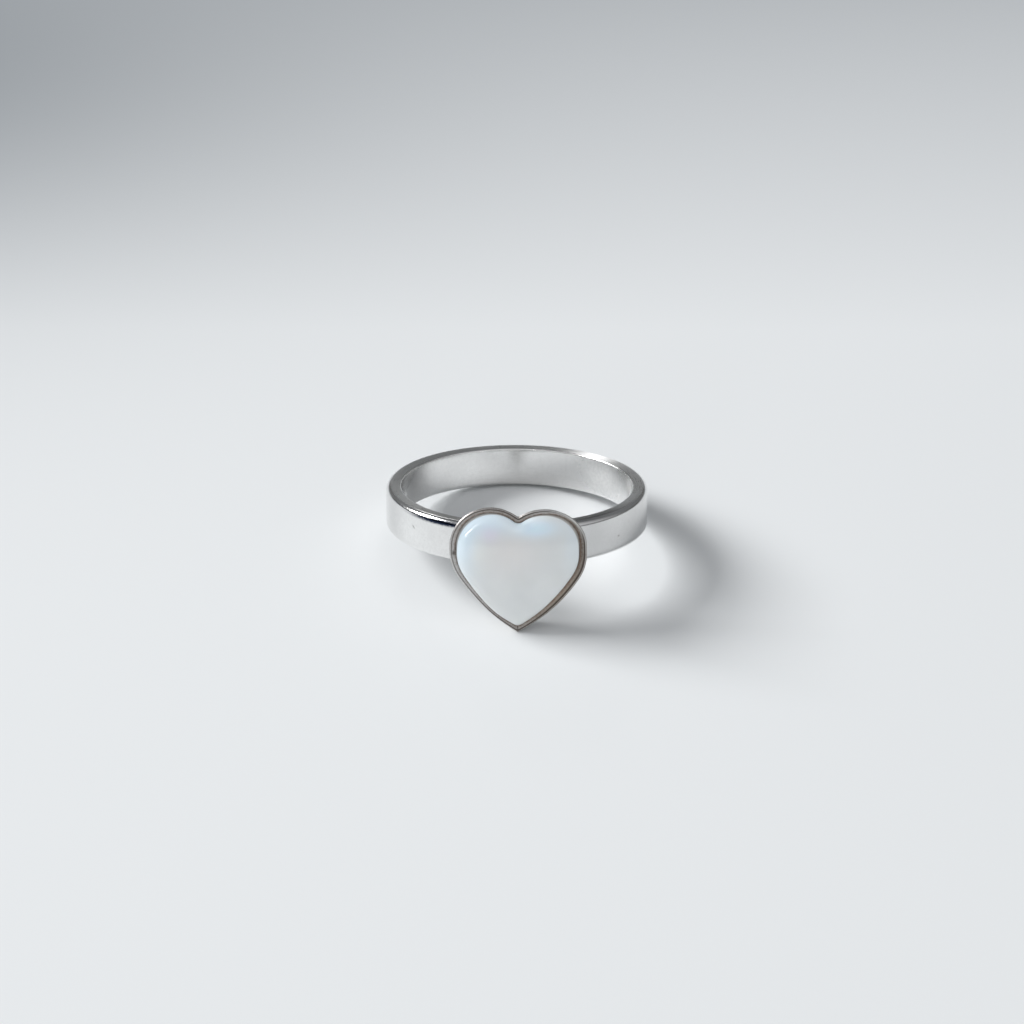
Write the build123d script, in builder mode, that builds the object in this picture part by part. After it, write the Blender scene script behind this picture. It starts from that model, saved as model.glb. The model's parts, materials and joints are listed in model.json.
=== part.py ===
from build123d import *
import math
import os

# Finger ring with a heart-shaped bezel and a cabochon, in millimetres and degrees.
# The ring lies on its side on the floor, z = 0, with the heart facing -Y. It stands on the heart's
# point and on the lower back edge of the band, so the band leans back by a few degrees.
# The origin is on the floor under the middle of the box around the silver.

# Band
finger_diameter = 17.3
band_wall = 1.14
band_width = 3.08
outer_edge_radius = 0.25
inner_edge_radius = 0.12

# Heart outline of the bezel at its widest, measured up and down from the middle of the band's width
heart_width = 9.8
heart_top = 3.33
heart_tip = 6.2
cleft_depth = 0.73
lobe_x = 2.0  # from the middle to the top of a lobe
flank_length = 0.43  # straight side between the lobe and the lower curve
lower_radius = 3.63
lower_share = 0.86  # share of the slope from flank to tip that the lower curve turns through

# Bezel cup
stand_off = 1.15  # face of the bezel in front of the band's outer surface
solder_bite = 0.1  # how far the back of the cup is sunk below the band's rounded edges
cup_taper = 16.5
shoulder = 0.12  # bevel between the outer wall and the face
rim_width = 0.42  # from the outer wall to the stone's pocket
pocket_cleft_radius = 0.5
seat_thickness = 0.6

# Stone
stone_gap = 0.03  # all round the stone, and between it and the seat
stone_proud = 0.22  # stone's edge in front of the bezel's face, before it is rounded
crown_rise = 0.28  # middle of the stone in front of its edge
stone_edge_radius = 0.3
stone_tip_radius = 0.4

# Sizes that follow
bore_radius = finger_diameter / 2
band_radius = bore_radius + band_wall
half_band = band_width / 2
half_heart = heart_width / 2
face_distance = band_radius + stand_off
cup_depth = stand_off + outer_edge_radius + solder_bite
pocket_depth = cup_depth - seat_thickness
back_inset = (cup_depth - shoulder) * math.tan(math.radians(cup_taper))
stone_inset = rim_width + stone_gap
stone_cleft_radius = pocket_cleft_radius + stone_gap

# Centres and radii of the arcs of the right half of the heart
lobe_radius = half_heart - lobe_x
inner_lobe_radius = (lobe_x**2 + cleft_depth**2) / (2 * cleft_depth)
flank_foot = heart_top - lobe_radius - flank_length
lower_turn = lower_share * math.atan2(half_heart, heart_tip + flank_foot)
lower_centre = Vector(half_heart - lower_radius, flank_foot)
outward = Vector(math.cos(lower_turn), -math.sin(lower_turn))
tip_chord = Vector(0, -heart_tip) - (lower_centre + outward * lower_radius)
side_radius = -tip_chord.dot(tip_chord) / (2 * tip_chord.dot(outward))
side_centre = lower_centre + outward * (lower_radius - side_radius)


def cleft_height(inset):
    """Height of the cleft of the outline set in by inset."""
    radius = inner_lobe_radius - inset
    return heart_top - inner_lobe_radius + math.sqrt(radius**2 - lobe_x**2)


def tip_height(inset):
    """Height of the tip of the outline set in by inset, below 0."""
    radius = side_radius - inset
    return side_centre.Y - math.sqrt(radius**2 - side_centre.X**2)


def heart(inset, cleft_radius=0, tip_radius=0):
    """Face of the heart: two lobes, short straight flanks and two long curves that meet at the tip.

    It is set in evenly from the widest outline, and its cleft and tip may be rounded.
    """
    with BuildSketch() as outline:
        with BuildLine():
            lobe_point = (lobe_x, heart_top - inset)
            flank_point = (half_heart - inset, flank_foot + flank_length)
            TangentArc(lobe_point, (0, cleft_height(inset)), tangent=(-1, 0))
            TangentArc(lobe_point, flank_point, tangent=(1, 0))
            Line(flank_point, (half_heart - inset, flank_foot))
            lower = CenterArc(lower_centre, lower_radius - inset, 0, -math.degrees(lower_turn))
            TangentArc(lower @ 1, (0, tip_height(inset)), tangent=lower % 1)
            mirror(about=Plane.YZ)
        make_face()
        if cleft_radius:
            cleft = outline.vertices().sort_by_distance((0, cleft_height(inset))).first
            fillet(cleft, cleft_radius)
        if tip_radius:
            tip = outline.vertices().sort_by_distance((0, tip_height(inset))).first
            fillet(tip, tip_radius)
    return outline.sketch


# How the ring rests: on the widest point of the heart's tip, and on the rounded lower edge at the back
tip_point = Vector(shoulder - face_distance, -heart_tip)
edge_centre = Vector(band_radius - outer_edge_radius, outer_edge_radius - half_band)
reach = edge_centre - tip_point
lean = math.acos(outer_edge_radius / reach.length) - math.atan2(reach.X, reach.Y)
front_reach = face_distance * math.cos(lean) - tip_height(shoulder) * math.sin(lean)
back_reach = edge_centre.X * math.cos(lean) - edge_centre.Y * math.sin(lean) + outer_edge_radius
centre_height = tip_point.X * math.sin(lean) - tip_point.Y * math.cos(lean)
ring_centre = Vector(0, (front_reach - back_reach) / 2, centre_height)
finger_axis = Vector(0, math.sin(lean), math.cos(lean))
forward = Vector(0, -math.cos(lean), math.sin(lean))

ring_plane = Plane(ring_centre, x_dir=(1, 0, 0), z_dir=finger_axis)
face_plane = Plane(ring_centre + forward * face_distance, x_dir=(1, 0, 0), z_dir=forward)
seat_plane = face_plane.offset(-pocket_depth)

# Band and bezel: one piece of silver
with BuildPart() as band_with_bezel:
    # Flat band with rounded edges
    with BuildSketch(ring_plane.offset(-half_band)):
        Circle(band_radius)
        Circle(bore_radius, mode=Mode.SUBTRACT)
    extrude(amount=band_width)
    rims = edges().filter_by(GeomType.CIRCLE).group_by(SortBy.RADIUS)
    fillet(rims[-1], outer_edge_radius)
    fillet(rims[0], inner_edge_radius)
    # Cup, narrower towards the band, bevelled at its face
    with BuildSketch(face_plane.offset(-cup_depth)):
        add(heart(back_inset))
    with BuildSketch(face_plane.offset(-shoulder)):
        add(heart(0))
    with BuildSketch(face_plane):
        add(heart(shoulder))
    loft(ruled=True)
    # Pocket for the stone
    with BuildSketch(seat_plane):
        add(heart(rim_width, pocket_cleft_radius))
    extrude(amount=pocket_depth, mode=Mode.SUBTRACT)

# Stone: straight wall, rounded edge and a low crown
stone_edge = pocket_depth + stone_proud
crown_centre_y = (heart_top - heart_tip) / 2
crown_reach = half_heart - stone_inset
crown_radius = (crown_reach**2 + crown_rise**2) / (2 * crown_rise)
crown_top = stone_edge + crown_rise
crown_plane = Plane(
    seat_plane.from_local_coords((0, crown_centre_y, crown_top - crown_radius)),
    x_dir=(1, 0, 0),
    z_dir=forward,
)
with BuildPart() as heart_stone:
    with BuildSketch(seat_plane.offset(stone_gap)):
        add(heart(stone_inset, stone_cleft_radius, stone_tip_radius))
    extrude(amount=crown_top - stone_gap)
    with Locations(crown_plane):
        Sphere(crown_radius, mode=Mode.INTERSECT)
    front = faces().sort_by(Axis(face_plane.origin, forward)).last
    fillet(front.edges(), stone_edge_radius)

band_with_bezel.part.label = "band_with_bezel"
heart_stone.part.label = "heart_stone"

os.makedirs("parts", exist_ok=True)
export_step(band_with_bezel.part, "parts/band_with_bezel.step")
export_step(heart_stone.part, "parts/heart_stone.step")

print(f"lean {math.degrees(lean):.2f} degrees, finger bore centre y {ring_centre.Y:.3f} z {ring_centre.Z:.3f}")
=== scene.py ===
# %% [markdown]
# # A silver ring with a heart of milky stone
# The ring is a flat silver band with a heart-shaped cup soldered to its front, and a milky stone in the
# cup. It lies on its side. The imported solids say where everything is, and this lesson gives them their
# looks: fine rounded edges, a brushed and darkened rim, satin silver and a stone with a faint painted
# glow. Some highlights and shade are painted into the finishes as well. The solids load first and stay
# where they are. Every piece made below is laid over one of them.

# %% Load the imported ring
import json
import math

import bmesh
import bpy
from mathutils import Matrix, Vector, noise


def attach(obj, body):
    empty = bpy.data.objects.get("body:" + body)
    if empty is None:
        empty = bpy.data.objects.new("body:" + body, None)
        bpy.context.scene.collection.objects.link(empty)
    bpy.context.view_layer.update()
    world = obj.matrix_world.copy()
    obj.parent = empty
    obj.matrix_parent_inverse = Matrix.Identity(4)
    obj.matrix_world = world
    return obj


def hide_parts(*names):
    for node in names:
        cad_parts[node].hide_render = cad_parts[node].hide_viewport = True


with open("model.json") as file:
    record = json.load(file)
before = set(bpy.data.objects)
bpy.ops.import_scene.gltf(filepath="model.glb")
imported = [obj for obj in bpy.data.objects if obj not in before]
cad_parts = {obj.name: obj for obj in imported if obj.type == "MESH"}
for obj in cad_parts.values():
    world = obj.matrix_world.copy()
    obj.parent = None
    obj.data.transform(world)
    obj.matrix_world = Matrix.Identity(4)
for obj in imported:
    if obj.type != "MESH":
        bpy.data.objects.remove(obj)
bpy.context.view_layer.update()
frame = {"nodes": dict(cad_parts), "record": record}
print("solids:", ", ".join(sorted(frame["nodes"])))

# %% [markdown]
# ## The ring's own directions
# A ring is easiest to draw round its own finger hole: across the front, back through the hole, and along
# the finger. The ring leans a little, so these directions lean too. The record knows where the hole's
# centre and axis are, and one matrix made from them carries every drawn point, in millimetres, to its
# place in metres.

# %% From the ring to the floor
bore = next(mount for mount in frame["record"]["mounts"] if mount["name"] == "finger_bore")
bore_centre = Vector(bore["pos_m"])
finger_axis = Vector(bore["axis"]).normalized()
ring_across = Vector((1, 0, 0))
ring_back = finger_axis.cross(ring_across)
ring_turn = Matrix((ring_across, ring_back, finger_axis)).transposed().to_4x4()
ring_to_floor = Matrix.Translation(bore_centre) @ ring_turn @ Matrix.Scale(0.001, 4)
print(f"the ring leans {math.degrees(finger_axis.angle(Vector((0, 0, 1)))):.1f} degrees")

# %% [markdown]
# ## The camera
# A long lens from well back keeps the small ring free of bulging. The camera looks down at the band's top
# side from the front, and is turned a hair round the ring, so the heart isn't quite in the middle.

# %% Camera
camera_distance = 234.8  # mm
camera_rise = math.radians(18.82)  # above the plane of the band
camera_turn = math.radians(-0.6)
camera_roll = math.radians(0.34)
camera_aim = Vector((-0.36, 0, -0.75))

flat_reach = camera_distance * math.cos(camera_rise)
camera_height = camera_distance * math.sin(camera_rise)
swing = Matrix.Rotation(camera_turn, 3, "Z")
camera_place = ring_to_floor @ (swing @ Vector((0, -flat_reach, camera_height)))
camera_target = ring_to_floor @ (swing @ camera_aim)
looking = (camera_target - camera_place).normalized()
camera_right = looking.cross(finger_axis).normalized()
camera_up = camera_right.cross(looking)
upright = Matrix((camera_right, camera_up, -looking)).transposed().to_4x4()

lens = bpy.data.cameras.new("camera")
lens.sensor_width = 36
lens.lens = 110
camera = bpy.data.objects.new("camera", lens)
camera.matrix_world = Matrix.Translation(camera_place) @ upright @ Matrix.Rotation(camera_roll, 4, "Z")
bpy.context.scene.collection.objects.link(camera)
bpy.context.scene.camera = camera
print(f"camera {camera_place.z * 1000:.0f} mm above the floor")

# %% [markdown]
# ## Sections with softened corners
# Band, cup and stone are all a section carried round a path. Real metal never has a knife edge: filing
# and polishing round every corner, and it is this roundness that catches the light. So sections are drawn
# as a few corners, each with its own radius, and a helper turns every corner into a small arc. It also
# says how far round a corner each point is, from 0 on the flats to 1 in the middle of an arc. The wear
# uses that.

# %% Rounding a section
def round_corners(corners, closed, arc_steps=6, flat_step=0.2):
    """Points (x, y, roundness) along a path whose corners are given as (x, y, radius)."""
    path = []
    for i, (x, y, radius) in enumerate(corners):
        corner = Vector((x, y))
        at_end = not closed and i in (0, len(corners) - 1)
        if at_end or radius == 0:
            path.append((x, y, 0.0))
            continue
        before = (Vector(corners[i - 1][:2]) - corner).normalized()
        after = (Vector(corners[(i + 1) % len(corners)][:2]) - corner).normalized()
        half_angle = before.angle(after) / 2
        centre = corner + (before + after).normalized() * radius / math.sin(half_angle)
        start = corner + before * radius / math.tan(half_angle) - centre
        end = corner + after * radius / math.tan(half_angle) - centre
        turn = math.atan2(start.x * end.y - start.y * end.x, start.dot(end))
        for step in range(arc_steps + 1):
            share = step / arc_steps
            point = centre + Matrix.Rotation(turn * share, 2) @ start
            path.append((point.x, point.y, math.sin(math.pi * share)))
    return divide_flats(path, closed, flat_step)


print("ready: round_corners")

# %% [markdown]
# ## Points on the flats
# Smooth shading spreads a corner's roundness over the faces beside it. So the straight stretches get
# points too, and then only a narrow face next to the corner is shaded round. Weighted normals would do
# that without more points, but the dips of the handwork need points on the flats as well.

# %% Dividing the flats
def divide_flats(path, closed, flat_step):
    """Adds points on the straight stretches, so that they shade flat."""
    divided = []
    for i, here in enumerate(path):
        divided.append(here)
        if not closed and i == len(path) - 1:
            break
        there = path[(i + 1) % len(path)]
        pieces = max(1, round(math.dist(here[:2], there[:2]) / flat_step))
        for k in range(1, pieces):
            share = k / pieces
            x = here[0] + (there[0] - here[0]) * share
            y = here[1] + (there[1] - here[1]) * share
            divided.append((x, y, 0.0))
    return divided


print("ready: divide_flats")

# %% [markdown]
# ## Skin over a row of sections
# A modifier could sweep a section along a curve, but these sections change a little from place to place,
# as handwork does. So the mesh is laid directly: rings of points, joined by four-sided faces. Where the
# section is open, a fan of triangles round one point closes each end. Every corner of a face also gets
# its place on the strip, in millimetres along it and across it.

# %% Faces of a skin
def measure_strip(rings, section):
    """Millimetres along the strip at each ring, and across it at each point of the section."""
    count, width = len(rings), len(section)
    along, across = [0.0], [0.0]
    for i in range(count):
        along.append(along[-1] + (rings[(i + 1) % count][width // 2] - rings[i][width // 2]).length)
    for j in range(width):
        across.append(across[-1] + math.dist(section[j][:2], section[(j + 1) % width][:2]))
    return along, across


def lay_faces(rings, section, closed, cap_count):
    """The faces through closed rings of points, their corners' places on the strip, and their columns."""
    count, width = len(rings), len(section)
    along, across = measure_strip(rings, section)
    faces, grain, columns = [], [], []
    for i in range(count):
        there = (i + 1) % count
        for j in range(width if closed else width - 1):
            over = (j + 1) % width
            faces.append((i * width + j, there * width + j, there * width + over, i * width + over))
            grain += [(along[i], across[j]), (along[i + 1], across[j])]
            grain += [(along[i + 1], across[j + 1]), (along[i], across[j + 1])]
            columns.append(j)
    for cap, column in zip(range(cap_count), (0, width - 1)):
        for i in range(count):
            faces.append((count * width + cap, i * width + column, (i + 1) % count * width + column))
            grain += [(along[i], across[column] + 1), (along[i], across[column])]
            grain += [(along[i + 1], across[column])]
            columns.append(min(column, width - 2))
    return faces, grain, columns


print("ready: lay_faces")

# %% [markdown]
# ## From the skin to a piece
# The places on the strip go into a UV map named grain, which the brushed finishes follow. Each point also
# keeps its place on the ring and how far round a corner it is, as attributes of the mesh, so a finish can
# be worn or tinted in one spot. Vertex colours could carry that too, but a place is of more use than a
# colour, because new marks can be added without touching the mesh.

# %% Skin
def skin(name, rings, section, closed, finish_of=lambda column: 0, caps=()):
    """Mesh object through closed rings of points in ring millimetres. Caps close an open section."""
    points = [point for ring in rings for point in ring] + list(caps)
    roundness = [share for _ in rings for _, _, share in section] + [0.0] * len(caps)
    faces, grain, columns = lay_faces(rings, section, closed, len(caps))
    mesh = bpy.data.meshes.new(name)
    mesh.from_pydata([ring_to_floor @ point for point in points], [], faces)
    mesh.uv_layers.new(name="grain").data.foreach_set("uv", [value for uv in grain for value in uv])
    ring_mm = mesh.attributes.new("ring_mm", "FLOAT_VECTOR", "POINT")
    ring_mm.data.foreach_set("vector", [value for point in points for value in point])
    mesh.attributes.new("roundness", "FLOAT", "POINT").data.foreach_set("value", roundness)
    mesh.polygons.foreach_set("material_index", [finish_of(column) for column in columns])
    turn_outwards(mesh)
    mesh.shade_smooth()
    piece = bpy.data.objects.new(name, mesh)
    bpy.context.scene.collection.objects.link(piece)
    print(f"{name}: {len(points)} points, {len(faces)} faces")
    return piece


def turn_outwards(mesh):
    """Makes all faces of a closed mesh look out of it."""
    shell = bmesh.new()
    shell.from_mesh(mesh)
    bmesh.ops.recalc_face_normals(shell, faces=shell.faces)
    shell.to_mesh(mesh)
    shell.free()


print("ready: skin")

# %% [markdown]
# ## The band
# The real band is a flat strip of silver, bent round and soldered shut, then filed and polished. Its
# outer and inner walls are smooth, and its two sides are brushed. A lathe would leave it perfectly round;
# hands don't, so the outer wall dips by about a hundredth of a millimetre here and there. That is far too
# little to see as a shape, but it keeps the reflections alive.

# %% Band, section
band_radius = 9.79
bore_radius = bore["dims"]["r_mm"]
half_band = 1.54
outer_edge_radius = 0.25
top_edge_radius = 0.40
inner_edge_radius = 0.12
side_fall = 0.07  # each side is filed a little lower towards the finger hole
band_section = round_corners(
    [
        (bore_radius, side_fall - half_band, inner_edge_radius),
        (band_radius, -half_band, outer_edge_radius),
        (band_radius, half_band, top_edge_radius),
        (bore_radius, half_band - side_fall, inner_edge_radius),
    ],
    closed=True,
)
print(f"band section: {len(band_section)} points")

# %% [markdown]
# ## Carrying the section round
# The dips come from noise at each point's own place, so they run on smoothly where the band closes. Each
# column of faces gets its finish from where it lies on the section, because a side is a side all round
# the ring.

# %% Band
band_stations = 400
dip_depth = 0.012
dips_round, dips_up = 2.4, 0.4  # how quickly the dips change round the band and up its wall
side_margin = 0.05
corner_starts = 0.6  # roundness from which a corner counts as polished
POLISHED, BRUSHED = 0, 1


def band_ring(station):
    """The band's section at one station, counted from the middle of the heart."""
    angle = 2 * math.pi * station / band_stations
    outwards = Vector((math.sin(angle), -math.cos(angle), 0))
    ring = []
    for radius, height, _ in band_section:
        outer_share = (radius - bore_radius) / (band_radius - bore_radius)
        place = outwards * dips_round + Vector((0, 0, height * dips_up))
        dip = dip_depth * outer_share * (0.5 + 0.5 * noise.noise(place))
        ring.append(outwards * (radius - dip) + Vector((0, 0, height)))
    return ring


def band_finish(column):
    """Brushed on the flat sides, polished on the walls and round the corners."""
    ends = [band_section[column], band_section[(column + 1) % len(band_section)]]
    lowest = half_band - side_fall - side_margin
    on_side = all(abs(height) > lowest and share < corner_starts for _, height, share in ends)
    return BRUSHED if on_side else POLISHED


ring_band = skin("ring_band", [band_ring(i) for i in range(band_stations)], band_section, True, band_finish)

# %% [markdown]
# ## The heart's outline
# Each half of the heart is a run of arcs that meet smoothly: from the cleft over the lobe, down a short
# straight flank, and in two long curves to the tip. The rim, the cup's wall, the pocket and the stone all
# follow it, each set in by its own distance. An arc set in keeps its centre and only loses radius, so
# every set-in outline is exact, with the same number of points on every arc. A single scaled copy would
# be quicker, but it would make the rim wide at the sides and thin at the cleft.

# %% Arcs of the heart
heart_width = 9.8
heart_top = 3.33
heart_tip = 6.2
cleft_depth = 0.73
lobe_x = 2.0
flank_length = 0.43
lower_radius = 3.63
lower_share = 0.86
cleft_ease = 0.08  # solder softens the bottom of the notch
tip_ease = 0.05

half_heart = heart_width / 2
lobe_radius = half_heart - lobe_x
inner_lobe_radius = (lobe_x**2 + cleft_depth**2) / (2 * cleft_depth)
inner_lobe_centre = Vector((lobe_x, heart_top - inner_lobe_radius))
lobe_centre = Vector((lobe_x, heart_top - lobe_radius))
flank_foot = heart_top - lobe_radius - flank_length
lower_turn = lower_share * math.atan2(half_heart, heart_tip + flank_foot)
lower_centre = Vector((half_heart - lower_radius, flank_foot))
lower_end = Vector((math.cos(lower_turn), -math.sin(lower_turn)))
tip_chord = Vector((0, -heart_tip)) - (lower_centre + lower_end * lower_radius)
side_radius = -tip_chord.length_squared / (2 * tip_chord.dot(lower_end))
side_centre = lower_centre + lower_end * (lower_radius - side_radius)
print(f"inner lobe radius {inner_lobe_radius:.2f} mm, side radius {side_radius:.2f} mm")

# %% [markdown]
# ## Walking round the outline
# Every outline needs its points in the same order and number, so that each lies straight in from its
# neighbour. So the steps per arc are fixed, with most of them on the lobes and the long sides. Each
# point comes with the direction that leads away from the heart.

# %% Outline
notch_steps, inner_lobe_steps, lobe_steps, flank_steps = 8, 26, 40, 3
lower_steps, side_steps, tip_steps = 30, 50, 6


def arc(centre, radius, start, end, steps, outwards=1):
    """Points of an arc with the directions that point away from the heart, without the last one."""
    run = []
    for step in range(steps):
        angle = start + (end - start) * step / steps
        direction = Vector((math.cos(angle), math.sin(angle)))
        run.append((centre + direction * radius, direction * outwards))
    return run


def heart_outline(inset, tip_radius):
    """(point, outward direction) all round the heart, from the cleft down the right side and back up."""
    cleft_radius = cleft_ease + inset
    notch_reach = inner_lobe_radius - inset + cleft_radius
    notch = Vector((0, inner_lobe_centre.y + math.sqrt(notch_reach**2 - lobe_x**2)))
    notch_angle = math.atan2(inner_lobe_centre.y - notch.y, lobe_x)
    tip_reach = side_radius - inset - tip_radius
    tip = Vector((0, side_centre.y - math.sqrt(tip_reach**2 - side_centre.x**2)))
    tip_angle = math.atan2(tip.y - side_centre.y, -side_centre.x)
    down, right, up = -math.pi / 2, 0, math.pi / 2
    flank = Vector((half_heart - inset, flank_foot))

    half = arc(notch, cleft_radius, down, notch_angle, notch_steps, outwards=-1)
    half += arc(inner_lobe_centre, inner_lobe_radius - inset, notch_angle + math.pi, up, inner_lobe_steps)
    half += arc(lobe_centre, lobe_radius - inset, up, right, lobe_steps)
    for k in range(flank_steps):
        half.append((flank + Vector((0, flank_length * (1 - k / flank_steps))), Vector((1, 0))))
    half += arc(lower_centre, lower_radius - inset, right, -lower_turn, lower_steps)
    half += arc(side_centre, side_radius - inset, -lower_turn, tip_angle, side_steps)
    half += arc(tip, tip_radius, tip_angle, down, tip_steps)
    bottom = (tip + Vector((0, -tip_radius)), Vector((0, -1)))
    flip = Matrix(((-1, 0), (0, 1)))
    other_half = [(flip @ point, flip @ direction) for point, direction in reversed(half[1:])]
    return half + [bottom] + other_half


print(f"heart outline: {len(heart_outline(0, tip_ease))} points")

# %% [markdown]
# ## The cup that holds the stone
# A jeweller cuts a heart-shaped plate, solders a wall round it, drops the stone in and rubs the wall's
# edge over it, then files the rim flat. So the cup's section runs from the middle of the back plate, out
# to the wall, which widens towards the front, round the rim and down the pocket to the seat. The corner
# at the stone gets a roundness of -1, so that the finish can put dirt and painted shade in it, not polish.

# %% Cup, section
face_distance = 10.94
cup_depth = 1.5
cup_taper = math.radians(16.5)
shoulder = 0.07
rim_width = 0.42
rim_dish = 0.02  # the rim falls towards the stone
pocket_depth = 0.9
plate_inset = 1.1
back_inset = cup_depth * math.tan(cup_taper)
corner_ease = 0.03
back_ease = 0.1
# how deep the corner at the stone takes dirt and painted shade
dirt_and_shade_depth = 0.4

smooth_cup_section = round_corners(
    [
        (plate_inset, cup_depth, 0),
        (back_inset, cup_depth, back_ease),
        (0, shoulder, corner_ease),
        (shoulder, 0, corner_ease),
        (rim_width, rim_dish, corner_ease),
        (rim_width, pocket_depth, corner_ease),
        (plate_inset, pocket_depth, 0),
    ],
    closed=False,
    flat_step=0.1,
)
cup_section = []
for inset, depth, share in smooth_cup_section:
    at_stone = inset > rim_width - corner_ease and depth < dirt_and_shade_depth
    cup_section.append((inset, depth, -1.0 if at_stone else share))
print(f"cup section: {len(cup_section)} points")

# %% [markdown]
# ## Where the rim starts
# The finish draws thin dark and light bands along the rim, by their distance across the strip. The strip
# starts on the back plate, so the way from there to the rim is measured along the section. Typed in as
# a number, it would be wrong as soon as the cup's depth changed.

# %% Cup, start of the rim
nearly_flat = 0.005
rim_start = 0.0
for here, there in zip(cup_section, cup_section[1:]):
    rim_start += math.dist(here[:2], there[:2])
    if there[1] < nearly_flat:
        break
print(f"the rim starts {rim_start:.3f} mm across the strip")

# %% [markdown]
# ## Handwork
# The filing was done by hand: the outline swells a little on one lower side and is flatter on the other,
# and one lobe sits lower. The opening for the stone wanders by itself, so the rim is thinner in some
# places than in others. A perfect heart would be easier and would look cast, so two small functions say
# how far the outline and the opening stand out from the drawn ones.

# %% Cup, handwork
hand_spread = 0.05
tip_run = 1.5  # over this length the spread fades out to the tip
swell_right, swell_left = 0.10, -0.10
lobe_trim, lobe_drop = 0.07, 0.14
lobe_slope = 1.7
opening_spread = 0.02
filed_spots = [  # (place, reach, how much thinner the rim is there)
    (Vector((-4.9, -0.2)), 2.0, -0.02),
    (Vector((4.9, 0.4)), 2.0, -0.07),
    (Vector((-1.5, -4.9)), 1.8, 0.12),
    (Vector((1.5, -4.9)), 1.8, 0.05),
    (Vector((1.9, 3.3)), 2.0, -0.10),
]


def handwork(point):
    """How far the filed outline stands out from the drawn one."""
    spread = hand_spread * min(1, (point.y + heart_tip) / tip_run)
    if point.y < 0:
        fullness = math.sin(math.pi * min(1, -point.y / heart_tip))
        return spread + fullness * (swell_right if point.x > 0 else swell_left)
    height = point.y / heart_top
    spread -= lobe_trim * height
    if point.x > 0:
        over_lobe = math.sin(math.pi * min(1, point.x / half_heart))
        spread -= lobe_drop * over_lobe * min(1, lobe_slope * height)
    return spread


def opening(point):
    """How far the rim's inner edge, and the stone with it, stand out from the drawn ones."""
    filed = 0
    for spot, reach, amount in filed_spots:
        filed += amount * math.exp(-((point - spot).length / reach) ** 2)
    return opening_spread + filed


print(f"the right side swells by {handwork(Vector((4, -3))):.2f} mm")

# %% [markdown]
# ## From the wall to the pocket
# The wall follows the filed outline, and the pocket follows the opening. On the rim the metal passes
# from one to the other, so each point of the section gets a share of the opening, from 0 on the wall to 1
# in the pocket. Two separate meshes would each be simpler, but there would be a seam on the rim.

# %% Cup, places
margin = 0.01


def on_face(flat, depth):
    """A point of the heart's plane, depth behind the rim, in ring millimetres."""
    return Vector((flat.x, depth - face_distance, flat.y))


def inner_share(inset, depth):
    """0 on the cup's outside and 1 in its pocket. On the rim it passes from one to the other."""
    in_pocket = inset > rim_width - margin and depth < pocket_depth + margin
    return min(1, inset / rim_width) if in_pocket or depth < shoulder else 0


print(f"in the middle of the rim the opening counts for {inner_share(rim_width / 2, rim_dish):.1f}")

# %% [markdown]
# ## Laying the cup
# At each station of the outline the section is drawn set in by its own insets, and moved by its shares of
# the handwork and the opening. The pocket's tip is rounder than the cup's, because the rim was rubbed
# over a stone with a rounded tip.

# %% Cup
pocket_tip_radius = 0.5
plate_margin = 0.05
heart_middle = Vector((0, -1.0))


def cup_rings():
    """The cup's section at each station of the outline."""
    outlines = []
    for inset, depth, _ in cup_section:
        more = (pocket_tip_radius - tip_ease) * inner_share(inset, depth)
        tip_radius = tip_ease + more - max(0, inset - rim_width)
        outlines.append(heart_outline(inset, max(tip_ease, tip_radius)))
    rings = []
    for station, (place, _) in enumerate(heart_outline(0, tip_ease)):
        ring = []
        for (inset, depth, _), outline in zip(cup_section, outlines):
            point, outwards = outline[station]
            share = inner_share(inset, depth)
            moved = handwork(place) * (1 - share) + opening(place) * share
            ring.append(on_face(point + outwards * moved, depth))
        rings.append(ring)
    return rings


def cup_finish(column):
    """Darkened on the wall and the rim, polished on the plate and in the pocket."""
    inset, depth, _ = cup_section[column]
    return BRUSHED if inset < rim_width - margin and depth < cup_depth - plate_margin else POLISHED


caps = [on_face(heart_middle, cup_depth), on_face(heart_middle, pocket_depth)]
heart_bezel = skin("heart_bezel", cup_rings(), cup_section, False, cup_finish, caps)

# %% [markdown]
# ## The solder seam
# The cup's back plate is sunk a little into the front of the band and soldered there. Molten solder
# creeps into the corner and leaves a small hollow fillet. The seam goes round the patch where band and
# plate meet: short runs across the top and the bottom, and the two ends where the band curves away. There
# the gap is a narrow wedge, and the solder reaches further in. A bevel on a boolean would follow the
# corner too, but only this way can the fillet be wide in the wedge and narrow at the sides.

# %% Seam, its path
seam_steps = 40
end_steps = 5
plate_back = face_distance - cup_depth
patch_half = math.sqrt(band_radius**2 - plate_back**2)


def patch_height(u):
    """Half the height of the patch where the band meets the back plate."""
    reach = math.hypot(u, plate_back)
    round_start = band_radius - outer_edge_radius
    if reach <= round_start:
        return half_band
    fall = min(outer_edge_radius, reach - round_start)
    return half_band - outer_edge_radius + math.sqrt(outer_edge_radius**2 - fall**2)


def seam_path():
    """(place, outward direction in the plate) round the patch."""
    top = []
    for step in range(seam_steps + 1):
        u = patch_half * math.cos(math.pi * step / seam_steps)
        top.append(Vector((u, patch_height(u))))
    end_height = patch_height(patch_half)
    left = [Vector((-patch_half, end_height * (1 - k / end_steps))) for k in range(1, 2 * end_steps)]
    bottom = [Vector((-point.x, -point.y)) for point in top]
    right = [Vector((-point.x, -point.y)) for point in left]
    loop = top + left + bottom + right
    path = []
    for i, place in enumerate(loop):
        direction = (loop[(i + 1) % len(loop)] - loop[i - 1]).normalized()
        path.append((place, Vector((direction.y, -direction.x))))
    return path


print(f"the seam is {2 * patch_half:.1f} mm wide")

# %% [markdown]
# ## The fillet
# A fillet of solder is hollow, because it is drawn into the corner while molten. Its section is a curve
# between two directions, along the plate and along the band. The band's direction is straight back at the
# top and the bottom, and follows the band's round wall at the ends. A corner buried in the metal closes
# the section. Noise makes the reach uneven, as solder is.

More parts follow.
